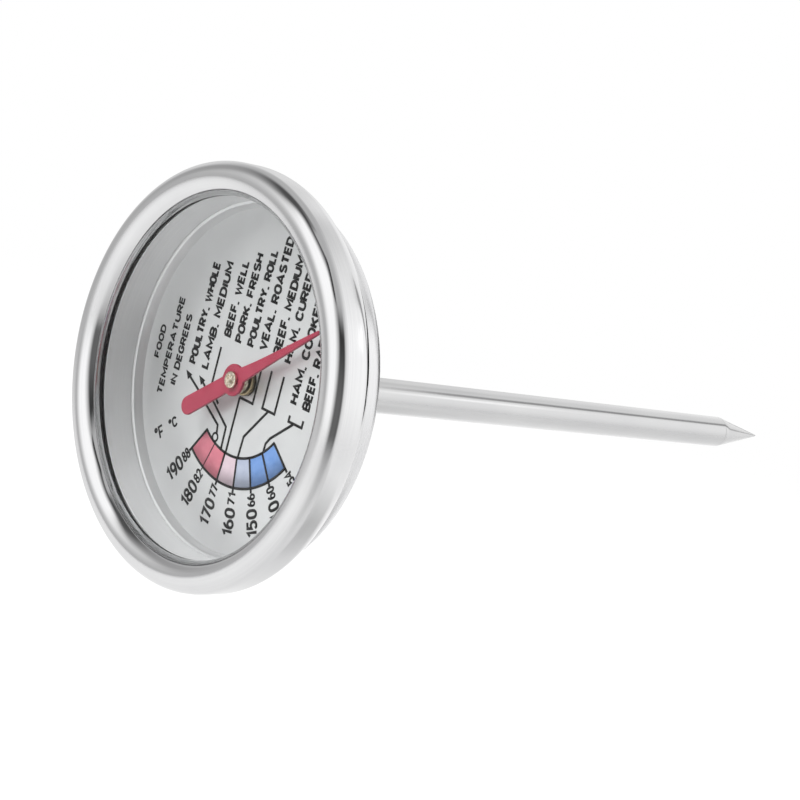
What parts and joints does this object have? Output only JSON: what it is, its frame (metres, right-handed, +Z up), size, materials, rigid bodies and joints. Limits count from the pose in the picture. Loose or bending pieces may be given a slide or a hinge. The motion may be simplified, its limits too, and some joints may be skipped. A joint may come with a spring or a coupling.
{
  "type": "meat thermometer",
  "caption": "Dial meat thermometer: round glazed head with a red needle and printed temperature band, on a long pointed steel stem that holds a bimetal coil.",
  "frame": {"origin": "on the stem's axis, at the end face of the case's boss, where the stem leaves the head", "axes": "+Y along the stem towards its point, dial facing -Y, +Z up; the dial's print reads from -Z to +Z"},
  "size_m": [0.055, 0.125, 0.055],
  "materials": {
    "polished_steel": "bright polished",
    "satin_steel": "satin",
    "clear_glass": "clear",
    "black_rubber": "matte",
    "dial_aluminium": "matte silver, printed",
    "red_paint": "satin",
    "brass": "machined",
    "bimetal": "rolled strip"
  },
  "bodies": {
    "housing": {"bezel_ring": "polished_steel", "case_cup": "satin_steel", "lens": "clear_glass", "lens_gasket": "black_rubber", "spacer_ring": "satin_steel", "dial_plate": "dial_aluminium", "dial_eyelet": "brass", "stem_tube": "satin_steel", "stem_point": "satin_steel", "stem_ferrule": "satin_steel", "stem_lock_ring": "satin_steel", "upper_bush": "brass", "lower_bush": "brass", "coil_anchor": "brass", "bimetal_coil": "bimetal"},
    "needle": {"pointer": "red_paint", "pointer_hub": "brass", "spindle": "satin_steel", "coil_collet": "brass"}
  },
  "joints": [
    {"name": "pointer_turn", "type": "hinge", "parent": "housing", "child": "needle", "pos_m": [0, -0.00576, 0], "axis": [0, 1, 0], "range_deg": [-73, 193], "stiffness_Nm_per_rad": 0.0015, "deforming": ["bimetal_coil"]}
  ]
}
